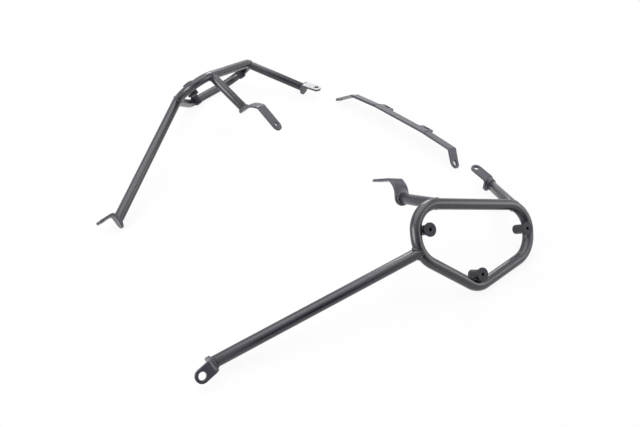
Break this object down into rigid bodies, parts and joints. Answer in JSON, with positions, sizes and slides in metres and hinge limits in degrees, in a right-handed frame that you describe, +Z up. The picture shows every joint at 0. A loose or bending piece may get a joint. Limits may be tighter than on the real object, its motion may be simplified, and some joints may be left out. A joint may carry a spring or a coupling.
{
  "type": "pannier frame",
  "caption": "Motorbike pannier frame: left and right welded tube carriers with closed hoops, stays and bolt lugs, and a folded flat brace, laid out loose.",
  "frame": {"origin": "on the ground, under the middle of the laid-out set's box", "axes": "+X across the bike to its left, +Y to the bike's rear, +Z up from the ground"},
  "size_m": [0.7146, 0.6377, 0.1212],
  "materials": {
    "powder_coat": "satin powder coat"
  },
  "bodies": {
    "root": {"left_hoop_tube": "powder_coat", "left_front_stay": "powder_coat", "left_mid_arm": "powder_coat", "left_rear_arm": "powder_coat", "left_front_lug": "powder_coat", "left_mid_lug": "powder_coat", "left_rear_lug": "powder_coat", "left_front_boss": "powder_coat", "left_rear_boss": "powder_coat", "left_lower_boss": "powder_coat", "right_hoop_tube": "powder_coat", "right_front_stay": "powder_coat", "right_mid_arm": "powder_coat", "right_rear_arm": "powder_coat", "right_front_lug": "powder_coat", "right_mid_lug": "powder_coat", "right_rear_lug": "powder_coat", "right_front_boss": "powder_coat", "right_rear_boss": "powder_coat", "right_lower_boss": "powder_coat", "rear_brace": "powder_coat"}
  },
  "joints": []
}
